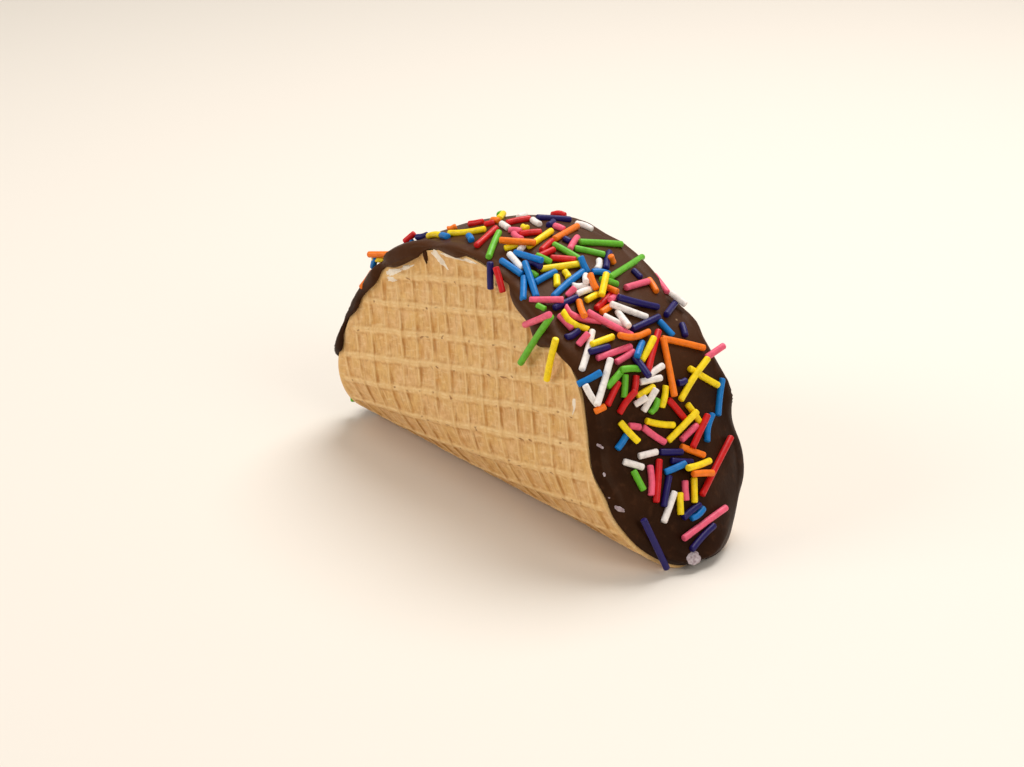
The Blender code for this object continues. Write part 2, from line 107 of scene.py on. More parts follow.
# How much thicker the coat is along its near edge: degrees, share of its thickness
SWELL = ((-16, 0.45), (35, 0.45), (48, 0.2), (60, 0.0), (104, 0.0), (109, 0.4), (114, 0.7), (120, 0.75),
         (126, 0.4), (131, -0.1), (137, -0.4), (146, -0.4), (150, -0.25), (158, -0.2), (166, 0.0),
         (198, 0.0))
SWELL_FULL = 1.2 * MM             # where it is at its full, behind the coat's edge
SWELL_RUN = 5.0 * MM

# Sprinkles
SPRINKLE_RADIUS = 0.78 * MM
SPRINKLE_LENGTHS = (4.0 * MM, 9.5 * MM)
SPRINKLE_SEED = 56
SPRINKLE_SIDES = 12
SINK = 0.4                        # share of the radius that lies in the chocolate
PILED = 1.5                       # distance between two crossing middle lines, in radii
# The ones that hang over the near rim: where they rest on it in degrees, millimetres beyond it,
# then degrees and millimetres inside the rim of the free end
OVERHANGS = (("green", 57, 5, 58.5, 12), ("yellow", 52, 2, 48.5, 7.5), ("pink", 59.5, 5.5, 63, 3.5),
             ("indigo", 79.5, 2, 78.5, 3), ("red", 76, 2.5, 74, 1.5))
# Sprinkles that lie on the coat, by where they show in the photographed view: column and row of both
# ends, and of the middle where one is bent. A later one leans on the ones before it
READ = (
    ("indigo", 643, 514, 662, 562), ("pink", 684, 538, 725, 508), ("indigo", 692, 549, 713, 526),
    ("indigo", 684, 517, 699, 505), ("blue", 692, 518, 703, 509), ("white", 664, 521, 674, 493),
    ("yellow", 680, 494, 683, 513), ("pink", 685, 482, 686, 499), ("yellow", 694, 479, 697, 501),
    ("red", 702, 494, 730, 438), ("orange", 693, 474, 712, 473), ("indigo", 669, 477, 664, 505),
    ("red", 659, 461, 656, 501), ("pink", 650, 467, 651, 494), ("green", 634, 472, 643, 489),
    ("white", 625, 462, 642, 467), ("white", 640, 456, 656, 452), ("indigo", 661, 452, 681, 452),
    ("indigo", 672, 461, 691, 462), ("yellow", 688, 468, 709, 461), ("blue", 666, 472, 684, 464),
    ("orange", 682, 447, 703, 455), ("blue", 618, 448, 626, 436), ("pink", 630, 426, 639, 427),
    ("yellow", 622, 423, 637, 441), ("yellow", 647, 421, 673, 425), ("pink", 644, 428, 664, 442),
    ("red", 669, 400, 684, 418), ("yellow", 688, 405, 702, 426), ("pink", 682, 439, 696, 426),
    ("yellow", 669, 440, 696, 412), ("red", 693, 446, 707, 416), ("blue", 707, 440, 712, 415),
    ("blue", 718, 414, 722, 380), ("yellow", 690, 369, 717, 385), ("yellow", 681, 399, 707, 359),
    ("red", 658, 332, 648, 370), ("orange", 663, 339, 674, 395), ("orange", 663, 339, 703, 348),
    ("blue", 579, 384, 600, 373), ("white", 586, 386, 597, 404), ("red", 618, 383, 608, 404),
    ("white", 610, 360, 597, 404), ("green", 608, 386, 622, 370), ("green", 622, 370, 639, 369),
    ("green", 625, 376, 624, 396), ("red", 636, 377, 634, 392), ("red", 634, 392, 620, 412),
    ("white", 582, 369, 592, 332), ("pink", 598, 358, 630, 347), ("yellow", 592, 345, 612, 337),
    ("yellow", 638, 396, 653, 387), ("white", 644, 410, 655, 390), ("yellow", 662, 406, 669, 387),
    ("white", 641, 382, 660, 378), ("green", 489, 257, 499, 233), ("red", 477, 246, 496, 229),
    ("yellow", 450, 234, 484, 230), ("orange", 493, 220, 498, 221), ("red", 508, 223, 529, 219),
    ("white", 519, 217, 525, 215), ("white", 502, 224, 508, 228), ("pink", 510, 227, 520, 231),
    ("yellow", 523, 227, 527, 228), ("red", 521, 233, 540, 232), ("white", 533, 219, 539, 224),
    ("indigo", 538, 218, 569, 220), ("indigo", 549, 225, 553, 222), ("pink", 555, 226, 563, 229),
    ("orange", 555, 239, 577, 226), ("white", 577, 224, 591, 229), ("yellow", 506, 248, 516, 245),
    ("yellow", 529, 247, 551, 232), ("orange", 501, 240, 534, 242), ("pink", 514, 234, 521, 239),
    ("white", 520, 250, 525, 242), ("red", 542, 250, 552, 241), ("red", 534, 253, 553, 250),
    ("green", 555, 242, 579, 259), ("pink", 570, 249, 577, 238), ("green", 576, 249, 603, 255),
    ("indigo", 606, 268, 609, 253), ("green", 581, 242, 621, 244), ("indigo", 565, 239, 569, 241),
    ("red", 552, 258, 575, 257), ("yellow", 542, 269, 580, 261), ("green", 537, 257, 550, 259),
    ("blue", 516, 253, 541, 261), ("white", 510, 255, 522, 269), ("blue", 502, 261, 521, 273),
    ("indigo", 529, 262, 540, 267), ("blue", 524, 278, 517, 303), ("blue", 525, 264, 536, 296),
    ("blue", 536, 282, 555, 272), ("green", 531, 273, 536, 276), ("yellow", 557, 274, 557, 285),
    ("yellow", 565, 272, 568, 277), ("blue", 554, 296, 584, 267), ("blue", 581, 258, 587, 271),
    ("white", 574, 285, 586, 285), ("white", 577, 294, 592, 289), ("white", 586, 275, 586, 282),
    ("orange", 590, 276, 596, 288), ("yellow", 587, 300, 599, 294), ("pink", 568, 295, 574, 289),
    ("indigo", 555, 308, 576, 298), ("pink", 531, 299, 562, 300), ("green", 538, 306, 544, 309),
    ("pink", 560, 316, 571, 328), ("yellow", 563, 313, 587, 329, 571, 324),
    ("pink", 566, 308, 601, 322, 576, 317), ("orange", 579, 302, 584, 316), ("indigo", 567, 337, 578, 331),
    ("pink", 589, 312, 631, 335), ("red", 597, 308, 613, 293), ("orange", 602, 312, 611, 306),
    ("orange", 606, 287, 616, 292), ("pink", 614, 293, 617, 296), ("indigo", 619, 298, 657, 307),
    ("white", 612, 304, 646, 317), ("white", 606, 314, 627, 327), ("white", 618, 312, 628, 326),
    ("indigo", 633, 329, 659, 316), ("orange", 620, 336, 648, 332, 632, 340),
    ("indigo", 635, 358, 648, 376), ("indigo", 591, 351, 608, 347), ("pink", 579, 344, 587, 335),
    ("pink", 617, 362, 633, 352), ("blue", 637, 356, 642, 343), ("yellow", 642, 360, 653, 339),
    ("blue", 660, 322, 672, 335), ("indigo", 666, 315, 675, 303), ("indigo", 682, 325, 685, 335),
    ("orange", 649, 280, 656, 291), ("pink", 656, 273, 668, 290), ("pink", 626, 288, 647, 282),
    ("indigo", 634, 271, 640, 277), ("blue", 593, 272, 608, 274), ("white", 599, 261, 597, 269),
    ("green", 610, 278, 641, 260), ("green", 602, 279, 616, 284), ("yellow", 603, 281, 602, 294),
    ("orange", 611, 257, 613, 262), ("blue", 469, 236, 471, 240), ("blue", 442, 235, 447, 236),
    ("yellow", 429, 236, 440, 235), ("indigo", 679, 383, 685, 381), ("green", 651, 412, 657, 400),
    ("white", 650, 374, 662, 366), ("white", 636, 404, 646, 398), ("orange", 596, 411, 604, 407),
    ("orange", 449, 229, 455, 227), ("red", 470, 224, 482, 222), ("red", 485, 221, 492, 219))
# Sprinkles that stand off the coat: degrees, place across and millimetres above it, of both ends
STANDING = (
    ("orange", 129, -1.05, 3.5, 125, -1, 0), ("yellow", 130, -1, 2.2, 127.5, -1, 0),
    ("blue", 132, -1, 1.1, 129, -1, 0), ("orange", 136.5, -1.15, 0, 132.5, -1.05, 0.2),
    ("blue", 125, -0.75, 0.2, 121.5, -0.7, 0), ("red", 122.5, -0.75, 0.9, 120.5, -0.65, 0),
    ("indigo", 120, -0.65, 0.4, 117.5, -0.6, 0), ("green", 105, 0.2, 0.2, 107, 0.35, 0),
    ("yellow", 102.5, 0.15, 0.4, 99, -0.1, 0), ("red", 98, 0.85, 0, 95.5, 0.95, 0.4),
    ("white", 57.5, 1, 0, 53.5, 1.05, 1.5), ("pink", 40, 0.9, 0, 41, 1.05, 3))
STREWN_COUNT = 127
STREWN_WIDTH = 0.88
CROWD = ((2, 1.0), (30, 1.4), (60, 2.0), (105, 2.0), (130, 1.0), (188, 0.6))
COLOUR_SEED = 5
BEND = 0.35 * MM                  # at most so much is a sprinkle bent at its middle
# Smears of the filling on the near flap: degrees and millimetres inside the rim of the broad and
# the narrow end, half width in millimetres
SMEARS = ((126, 1.2, 119, 2.6, 0.7), (119.5, 2.3, 113.5, 2.6, 0.45), (104.5, 0.1, 99, 4.6, 0.9),
          (101, 0.8, 91, 1.3, 0.35), (92, 1.0, 86, 0.5, 0.35), (126.5, 2.4, 122.5, 4.2, 0.6),
          (40.6, 3.0, 37.3, 3.8, 0.5))
SMEAR_HEIGHT = 0.18 * MM
SMEAR_NARROWING = 0.7             # 0 would make both ends alike, 1 draws the narrow one to a point
SMEAR_UNEVEN = 0.5
DRIPS = ((107.4, -0.4, 107.9, 3.0, 0.6),)
DRIP_HEIGHT = 0.7 * MM
# Up to here every sprinkle is named above: along the rim at the coat's middle, and how much sooner the
# part that is named ends at the far rim
READ_END = math.radians(122)
READ_SLANT = math.radians(5)
# Lumps of melted sugar on the coat: degrees, place across, half length, half width and height in
# millimetres, and the way the length points from along the rim, in degrees
LUMPS = ((-5.4, -0.42, 1.8, 1.3, 0.25, 100), (28.2, -1.01, 0.9, 0.3, 0.2, 130),
         (21.7, -1.04, 0.6, 0.3, 0.2, 10), (16.1, -1.05, 0.4, 0.25, 0.15, 80),
         (13.2, -1.02, 1.1, 0.55, 0.3, 140))
LUMP_UNEVEN = 0.45

# How the place of a sprinkle is found from the pixels that show its ends
LATTICE_ANGLES = (-12, 150, 3)    # places tried first: degrees along the rim
LATTICE_STEPS = 8                 # and so many steps across to each side
LATTICE_REACH = 11                # pixels between such a place and the one looked for
FARTHEST = 1.2                    # share across past which no end lies
NEWTON_ROUNDS = 12
LONGEST_STEP = 0.15
TINY = 1e-4                       # step over which a slope is taken
NEAR_ENOUGH = 0.1                 # pixels, for one end by itself
WELL_LAID = 1.0                   # pixels, for a whole sprinkle
EDGE_ON = 1.0                     # least area of the coat's directions in the view
AIM_ROUNDS = 5
AIM_SHARE = 0.7                   # share of a miss by which the aim is shifted

# The photographed view
PHOTO_SIZE = (1024, 767)
SENSOR_WIDTH = 36
CAMERA_TURN = 0.91505             # round the object from straight in front, in radians
CAMERA_RISE = 0.379795
CAMERA_DISTANCE = 0.5686
CAMERA_AIM = (0.0000164, -0.005023, 0.02478)
CAMERA_LENS = 84.375


def smooth_through(knots, at):
    """Value at a place on a smooth curve through the given (place, value) knots."""
    last = len(knots) - 1
    i = max(k for k in range(last) if k == 0 or knots[k][0] <= at)
    (x0, y0), (x1, y1) = knots[i], knots[i + 1]
    before, after = knots[max(i - 1, 0)], knots[min(i + 2, last)]
    slope0 = (y1 - before[1]) / (x1 - before[0])
    slope1 = (after[1] - y0) / (after[0] - x0)
    span = x1 - x0
    t = min(max((at - x0) / span, 0.0), 1.0)
    return ((2 * t**3 - 3 * t**2 + 1) * y0 + (t**3 - 2 * t**2 + t) * span * slope0
            + (3 * t**2 - 2 * t**3) * y1 + (t**3 - t**2) * span * slope1)


def ease(share):
    """Soft step from 0 to 1."""
    share = min(max(share, 0.0), 1.0)
    return share * share * (3 - 2 * share)


def fold_turn(s):
    """Angle by which the sheet has turned up at s."""
    return min(abs(s) / FOLD_RADIUS, math.pi / 2 + FLAP_LEAN)


def fold_point(x, s, height):
    """Bend a point of the flat sheet: positive s is the near flap, height is above the outer face."""
    turn = fold_turn(s)
    straight = abs(s) - FOLD_RADIUS * turn
    side = -1 if s >= 0 else 1
    short, long, up_flap = FLAP_WAVE_RUNS
    wave = math.sin(x / short + side) * math.sin(x / long + s / up_flap)
    height += FLAP_WAVE * wave * ease((abs(s) - FLAP_MIDDLE) / (2 * FLAP_MIDDLE))
    out = FOLD_RADIUS * math.sin(turn) + straight * math.cos(turn) + height * math.sin(turn)
    up = FOLD_RADIUS * (1 - math.cos(turn)) + straight * math.sin(turn) - height * math.cos(turn)
    return Vector((x, side * out, up - FOLD_RADIUS * (1 - math.cos(FOOT_HALF / FOLD_RADIUS))))


def rim_radius(angle, side=-1):
    """Radius of the near flap's rim at side -1, of the far one's at side 1."""
    radius = smooth_through(RIM, math.degrees(angle))
    if side > 0:
        radius += smooth_through(FAR_RIM, math.degrees(angle))
    return radius * MM


def flap_place(angle, radius):
    """Flat place (x, s) at an angle and a radius about the flap's middle."""
    return radius * math.cos(angle), FLAP_MIDDLE + radius * math.sin(angle)


def inside_rim(x, s):
    """Distance from a flat place to the rim."""
    angle = math.atan2(abs(s) - FLAP_MIDDLE, x)
    angle += 2 * math.pi if angle < RIM_RIGHT else 0
    return rim_radius(angle, -1 if s > 0 else 1) - math.hypot(x, abs(s) - FLAP_MIDDLE)


def rim_end(inside, outside, height):
    """Angle at which the rim comes down to the given s, between an angle above it and one below."""
    while abs(inside - outside) > MERGE:
        middle = (inside + outside) / 2
        if flap_place(middle, rim_radius(middle))[1] > height:
            inside = middle
        else:
            outside = middle
    return inside


def rim_angles(count, lowest):
    """Evenly spaced angles along the rim, from its right end over the top to its left end."""
    right = rim_end(math.pi / 2, RIM_RIGHT, lowest)
    left = rim_end(math.pi / 2, RIM_LEFT, lowest)
    return [right + (left - right) * i / count for i in range(count + 1)]


def lap(angle, side):
    return smooth_through(LAP_NEAR if side < 0 else LAP_FAR, math.degrees(angle)) * MM


def cut_edge():
    """Length of the coat's way over the waffle's cut edge."""
    return WAFFLE_THICKNESS + 2 * GAP


def coat_lift(angle, side, distance):
    """Coat thickness at a distance behind its edge."""
    thickness = COAT * (1 - math.exp(-(distance + COAT_START) / COAT_ROUND))
    if side < 0:
        swell = smooth_through(SWELL, math.degrees(angle))
        reach = ease(distance / SWELL_FULL) * ease(1 - (distance - SWELL_FULL) / SWELL_RUN)
        thickness *= 1 + swell * reach
    return thickness


def brink(angle, side, way, lift):
    """Point above the waffle's edge: way counts down the outer face, and below 0 over the cut edge."""
    out = rim_radius(angle, side) + GAP - max(way, 0)
    height = GAP + min(way, 0)
    tilt = math.pi / 2 * ease(way / BRINK_TURN + 0.5)
    x, s = flap_place(angle, out + lift * math.cos(tilt))
    return fold_point(x, -side * max(s, 0), height + lift * math.sin(tilt))


def outward(angle):
    """Direction away from the filling, at right angles to the fold's width."""
    s = max(flap_place(angle, rim_radius(angle))[1], 0)
    return Vector((math.cos(angle), 0, math.sin(angle) * math.sin(fold_turn(s)))).normalized()


def crown_point(angle, across, beyond):
    """Point on the dome between the flaps: across runs from -1 at the near rim to 1 at the far one."""
    ends = []
    for side in (-1, 1):
        x, s = flap_place(angle, rim_radius(angle, side) + beyond)
        ends.append(fold_point(x, -side * max(s, 0), -WAFFLE_THICKNESS - GAP))
    dome = CROWN * (1 - across * across) * ease((s - LOWEST_SLICE / 2) / (3 * LOWEST_SLICE))
    return ends[0].lerp(ends[1], (across + 1) / 2) + outward(angle) * dome


def coat_top(angle, across):
    """Point on the coat's outer face between the two flaps."""
    base = crown_point(angle, across, GAP)
    half = abs(crown_point(angle, 1, GAP).y)
    side = -1 if across < 0 else 1
    distance = lap(angle, side) + cut_edge() + (1 - abs(across)) * half
    lump = LUMP * noise.noise(base / LUMP_SIZE) * ease(distance / LUMP_FADE)
    point = base + outward(angle) * (coat_lift(angle, side, distance) + lump)
    return Vector((point.x, point.y, max(point.z, GAP)))


class Value:
    """A number that varies over a surface. Sums and products of such numbers add Math nodes."""

    def __init__(self, finish, socket):
        self.finish = finish
        self.socket = socket

    def math(self, operation, *terms):
        made = self.finish.node("ShaderNodeMath", {"operation": operation}, dict(enumerate(terms)))
        return Value(self.finish, made.outputs[0])

    def __add__(self, other):
        return self.math("ADD", self, other)

    def __sub__(self, other):
        return self.math("SUBTRACT", self, other)

    def __rsub__(self, other):
        return self.math("SUBTRACT", other, self)

    def __mul__(self, other):
        return self.math("MULTIPLY", self, other)

    def __abs__(self):
        return self.math("ABSOLUTE", self)

    __radd__ = __add__
    __rmul__ = __mul__

    def step(self, low, high):
        """Soft step from 0 where this is at low to 1 where it is at high."""
        made = self.finish.node("ShaderNodeMapRange", {"interpolation_type": "SMOOTHSTEP"},
                                {"Value": self, "From Min": low, "From Max": high})
        return Value(self.finish, made.outputs[0])

    def most(self, other):
        return self.math("MAXIMUM", self, other)

    def fraction(self):
        return self.math("FRACT", self)


class Finish:
    """A material: its Principled shader, and the nodes that vary over the surface."""

    def __init__(self, name, sockets):
        self.material = bpy.data.materials.new(name)
        self.material.use_nodes = True
        self.tree = self.material.node_tree
        self.shader = self.tree.nodes["Principled BSDF"]
        self.fill(self.shader, sockets)
        self.place = self.node("ShaderNodeTexCoord").outputs["Object"]

    def fill(self, node, sockets):
        for key, value in sockets.items():
            socket = node.inputs[key]
            if isinstance(value, Value):
                value = value.socket
            if isinstance(value, bpy.types.NodeSocket):
                self.tree.links.new(value, socket)
            elif isinstance(value, tuple) and len(value) == 3 and socket.type == "RGBA":
                socket.default_value = (*value, 1)
            else:
                socket.default_value = value

    def node(self, kind, settings=None, sockets=None):
        made = self.tree.nodes.new(kind)
        for key, value in (settings or {}).items():
            setattr(made, key, value)
        self.fill(made, sockets or {})
        return made

    def grain(self, size, detail=2.0, rough=0.5, place=None):
        """Noise from 0 to 1 whose lumps are about the given size."""
        made = self.node("ShaderNodeTexNoise", None,
                         {"Vector": place or self.place, "Scale": 1 / size, "Detail": detail,
                          "Roughness": rough})
        return Value(self, made.outputs[0])

    def mix(self, share, one, other):
        """Colour between two others."""
        made = self.node("ShaderNodeMix", {"data_type": "RGBA"}, {0: share, 6: one, 7: other})
        return made.outputs[2]

    def bump(self, height, depth):
        """Unevenness of the given depth where height runs from 0 to 1."""
        made = self.node("ShaderNodeBump", None, {"Height": height * depth, "Distance": 1.0})
        self.fill(self.shader, {"Normal": made.outputs[0]})


def shade(red, green, blue):
    """Linear colour from the 0 to 255 values of a display."""
    return tuple(((v / 255 + 0.055) / 1.055) ** 2.4 for v in (red, green, blue))


def waffle_finish():
    finish = Finish("baked_waffle", {"Specular IOR Level": 0.3})
    grid = finish.node("ShaderNodeAttribute", {"attribute_name": "grid"})
    parts = finish.node("ShaderNodeSeparateXYZ", None, {0: grid.outputs["Vector"]})
    along, up, inside = (Value(finish, socket) for socket in parts.outputs)
    right = (along + 0.5).fraction() - 0.5
    above = (up + 0.5).fraction() - 0.5
    upright = 1 - abs(right).step(0.02, 0.08)
    pattern = inside.step(0.6, 3.2)

    def drawn(across, height, seed, detail=2.0):
        """Noise drawn out over the grid: so many streaks to a cell each way."""
        place = finish.node("ShaderNodeCombineXYZ", None, {0: along * across, 1: up * height, 2: seed})
        return finish.grain(1, detail, 0.55, place.outputs[0])

    above = above + (drawn(3, 1.5, 40) - 0.5) * 0.12
    level = 1 - abs(above).step(0.08, 0.2)
    # Dark crinkled lines along both flanks of the broad ridges: painted shade where the ridges meet the
    # pockets.
    crease_shade = abs(above).step(0.09, 0.14) * (1 - abs(above).step(0.16, 0.23))
    crease_shade = crease_shade * drawn(3, 2, 30).step(0.42, 0.6)
    # Pale lines along the broad ridges and down the middle of the upright ones: painted highlight.
    crest_highlight = (1 - abs(abs(above) - 0.05).step(0.02, 0.05)) * drawn(2.5, 2, 33).step(0.4, 0.6)
    crest_highlight = crest_highlight.most((1 - abs(right).step(0.015, 0.06)) * drawn(1.5, 1.5, 50).step(0.35, 0.65) * 0.8)
    patches = finish.grain(6 * MM, 3)
    mottle = finish.grain(1.8 * MM, 4, 0.65)
    fine = finish.grain(0.45 * MM, 3, 0.6)
    lines = drawn(7, 1.8, 0, 1.5)
    wisps = drawn(2.2, 8, 5, 1.5)
    threads = drawn(8, 0.9, 3, 1).step(0.56, 0.7)
    colour = finish.mix(patches.step(0.35, 0.65), shade(229, 184, 114), shade(233, 189, 133))
    colour = finish.mix(finish.grain(2.6 * MM, 3, 0.6).step(0.48, 0.7) * 0.4, colour, shade(212, 152, 78))
    colour = finish.mix(mottle.step(0.3, 0.72) * 0.65, colour, shade(202, 149, 82))
    colour = finish.mix(lines.step(0.48, 0.75) * pattern * 0.5, colour, shade(188, 130, 66))
    colour = finish.mix(wisps.step(0.52, 0.72) * 0.45, colour, shade(240, 208, 154))
    colour = finish.mix(upright.most(level) * pattern * 0.65, colour, shade(232, 190, 128))
    colour = finish.mix(threads * pattern * (1 - level) * 0.4, colour, shade(240, 206, 150))
    colour = finish.mix(crest_highlight * pattern * 0.45, colour, shade(246, 214, 158))
    colour = finish.mix(crease_shade * pattern * 0.5, colour, shade(190, 134, 70))

    # Brown streaks just right of the upright ridges: partly toasting of the crust, partly painted shade on
    # the ridges' side turned from the light.
    streaks = drawn(5, 1.1, 9).step(0.38, 0.66)
    beside = right.step(0.03, 0.09) * (1 - right.step(0.13, 0.3))
    toast_and_shade_streak = beside * streaks * (1 - level * 0.6) * pattern
    colour = finish.mix(toast_and_shade_streak * 0.85, colour, shade(176, 116, 50))
    # Broader brown smears right of the upright ridges: likewise partly toasting, partly painted shade.
    broad = (1 - abs(right - 0.2).step(0.06, 0.24)) * drawn(1.1, 1.3, 14).step(0.52, 0.7) * (1 - level)
    colour = finish.mix(broad * pattern * 0.55, colour, shade(202, 140, 68))
    pit = drawn(3.5, 7, 21, 0).step(0.65, 0.75) * level * (1 - above.step(0.0, 0.08))
    pit = pit * patches.step(0.4, 0.55)
    colour = finish.mix(pit * pattern * 0.75, colour, shade(146, 88, 36))
    colour = finish.mix((1 - inside.step(0.0, 1.6)) * 0.4, colour, shade(232, 194, 134))
    finish.fill(finish.shader, {"Base Color": colour, "Roughness": 0.5 + 0.25 * fine})
    finish.bump(fine * 0.7 + mottle * 3 + wisps * 1.5 + threads - lines - toast_and_shade_streak * 1.5 - pit * 2, 0.08 * MM)
    return finish.material


def chocolate_finish():
    finish = Finish("dark_chocolate", {"Specular IOR Level": 0.1, "Specular Tint": (1.0, 0.72, 0.5, 1.0)})
    slow = finish.grain(12 * MM, 3)
    mottle = finish.grain(2.5 * MM, 4, 0.6)
    fine = finish.grain(0.6 * MM, 3, 0.6)
    colour = finish.mix(slow.step(0.35, 0.7), shade(37, 18, 8), shade(49, 26, 12))
    # Paler and warmer towards the top: painted light where more light falls on the upper coat.
    height = Value(finish, finish.node("ShaderNodeSeparateXYZ", None, {0: finish.place}).outputs["Z"])
    colour = finish.mix(height.step(25 * MM, 62 * MM) * 0.65, colour, shade(82, 47, 24))
    colour = finish.mix(mottle.step(0.5, 0.8) * 0.45, colour, shade(80, 48, 29))
    specks = finish.node("ShaderNodeTexVoronoi", None, {"Vector": finish.place, "Scale": 1 / (5.5 * MM)})
    speck = 1 - Value(finish, specks.outputs[0]).step(0.03, 0.07)
    speck = speck * finish.grain(11 * MM, 1).step(0.55, 0.62)
    colour = finish.mix(speck * 0.7, colour, shade(170, 140, 110))
    finish.fill(finish.shader, {"Base Color": colour, "Roughness": 0.34 + 0.16 * mottle})
    finish.bump(fine * 0.5 + mottle * 2, 0.05 * MM)
    return finish.material


def cream_finish():
    finish = Finish("ice_cream", {"Specular IOR Level": 0.4})
    mottle = finish.grain(1.5 * MM, 4, 0.6)
    colour = finish.mix(mottle.step(0.3, 0.7), shade(246, 232, 210), shade(232, 214, 190))
    finish.fill(finish.shader, {"Base Color": colour, "Roughness": 0.4 + 0.2 * mottle})
    finish.bump(mottle, 0.15 * MM)
    return finish.material


def sugar_finish():
    finish = Finish("melted_sugar", {"Specular IOR Level": 0.4})
    mottle = finish.grain(0.9 * MM, 3, 0.6)
    colour = finish.mix(mottle.step(0.35, 0.65), shade(190, 176, 178), shade(146, 124, 128))
    finish.fill(finish.shader, {"Base Color": colour, "Roughness": 0.35 + 0.2 * mottle})
    finish.bump(mottle, 0.12 * MM)
    return finish.material


def sprinkle_finish(name, colour):
    finish = Finish(f"sugar_{name}", {"Specular IOR Level": 0.3})
    mottle = finish.grain(1.2 * MM, 3, 0.6)
    darker = tuple(part * 0.78 for part in colour)
    finish.fill(finish.shader, {"Base Color": finish.mix(mottle.step(0.35, 0.75), colour, darker),
                                "Roughness": 0.32 + 0.2 * mottle})
    finish.bump(mottle, 0.03 * MM)
    return finish.material


SPRINKLE_COLOURS = {
    "yellow": shade(255, 220, 10), "white": shade(246, 236, 228), "green": shade(102, 182, 40),
    "blue": shade(0, 116, 190), "indigo": shade(28, 16, 90), "red": shade(206, 18, 18),
    "pink": shade(241, 96, 124), "orange": shade(248, 122, 16)}


def dress(piece, material, slot, *nodes):
    """Give a piece its finish and its place in the frame."""
    piece.data.materials.clear()
    piece.data.materials.append(material)
    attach(piece, "root")
    if nodes:
        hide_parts(*nodes)
    return piece


def add_object(name, bm):
    bmesh.ops.recalc_face_normals(bm, faces=bm.faces)
    mesh = bpy.data.meshes.new(name)
    bm.to_mesh(mesh)
    bm.free()
    made = bpy.data.objects.new(name, mesh)
    bpy.context.scene.collection.objects.link(made)
    return made


def drift(x, s, seed):
    """Slow wandering between -1 and 1 over the sheet."""
    return noise.noise(Vector((x / DRIFT_SIZE, s / DRIFT_SIZE, seed)))


def grid_place(x, s):
    """Place on the waffle's grid, in cells: ridges lie at whole numbers."""
    back = Matrix.Rotation(-PATTERN_TURN, 2) @ Vector((x, s))
    along = (back.x - PATTERN_SHIFT[0]) / PITCH_ALONG + GRID_DRIFT * drift(x, s, 1)
    up = (back.y - PATTERN_SHIFT[1]) / PITCH_UP + GRID_DRIFT * drift(x, s, 2)
    return along, up


def relief(x, s):
    """Depth of the outer face below the ridges' tops."""
    along, up = grid_place(x, s)
    upright = abs(along - round(along)) * PITCH_ALONG / UPRIGHT_RIDGE
    level = abs(up - round(up)) * PITCH_UP / LEVEL_RIDGE
    upright = math.exp(-upright**2) * (0.85 + 0.3 * drift(x, s, 3))
    level = math.exp(-level**2) * (0.85 + 0.3 * drift(x, s, 4))
    ridge = 1 - (1 - upright) * (1 - level)
    strength = ease(inside_rim(x, s) / PLAIN_MARGIN) * ease((abs(s) - FOOT_HALF) / PLAIN_MARGIN)
    return -POCKET_DEPTH * (1 - ridge) * strength


def sheet_grid():
    """Flat slab with rows of points that follow the ridges."""
    rows = []
    cells = [[cell + share for cell in range(-reach, reach) for share in ACROSS_CELL]
             for reach in PATTERN_REACH]
    turn = Matrix.Rotation(PATTERN_TURN, 2)
    bm = bmesh.new()
    for up in cells[1]:
        row = []
        for along in cells[0]:
            flat = turn @ Vector((along * PITCH_ALONG + PATTERN_SHIFT[0], up * PITCH_UP + PATTERN_SHIFT[1]))
            row.append(bm.verts.new((flat.x, flat.y, 0)))
        rows.append(row)
    for one, two in zip(rows, rows[1:]):
        for i in range(len(one) - 1):
            bm.faces.new((one[i], one[i + 1], two[i + 1], two[i]))
    back = bmesh.ops.extrude_face_region(bm, geom=bm.faces[:], use_keep_orig=True)["geom"]
    sunk = [v for v in back if isinstance(v, bmesh.types.BMVert)]
    bmesh.ops.translate(bm, verts=sunk, vec=(0, 0, -WAFFLE_THICKNESS))
    return bm


def waffle_shell():
    """Cut the slab to the blank's outline, sink its pockets and fold it."""
    shell = add_object("baked_shell", sheet_grid())
    angles = rim_angles(BLANK_STEPS, 0)
    near = [flap_place(angle, rim_radius(angle)) for angle in angles]
    far = [flap_place(angle, rim_radius(angle, 1)) for angle in reversed(angles[1:-1])]
    bm = bmesh.new()
    outline = near + [(x, -s) for x, s in far]
    bottom = bm.faces.new([bm.verts.new((x, s, -2 * WAFFLE_THICKNESS)) for x, s in outline])
    top = bmesh.ops.extrude_face_region(bm, geom=[bottom], use_keep_orig=True)["geom"]
    raised = [v for v in top if isinstance(v, bmesh.types.BMVert)]
    bmesh.ops.translate(bm, verts=raised, vec=(0, 0, 3 * WAFFLE_THICKNESS))
    cutter = add_object("blank_cutter", bm)
    trim = shell.modifiers.new("trim", "BOOLEAN")
    trim.operation = "INTERSECT"
    trim.object = cutter
    evaluated = shell.evaluated_get(bpy.context.evaluated_depsgraph_get())
    mesh = bpy.data.meshes.new_from_object(evaluated)
    shell.modifiers.clear()
    shell.data = mesh
    bpy.data.objects.remove(cutter)

    grid = mesh.attributes.new("grid", "FLOAT_VECTOR", "POINT")
    for vert in mesh.vertices:
        x, s, height = vert.co
        grid.data[vert.index].vector = (*grid_place(x, s), inside_rim(x, s) / MM)
        outer = height > -WAFFLE_THICKNESS / 2
        vert.co = fold_point(x, s, relief(x, s) if outer else height)
        if outer:
            vert.co.z = max(vert.co.z, 0.0)
    mesh.shade_smooth()
    mesh.set_sharp_from_angle(angle=SHELL_SHARP)
    return shell


def ripple(point):
    return RIPPLE * noise.noise(point / RIPPLE_SIZE)


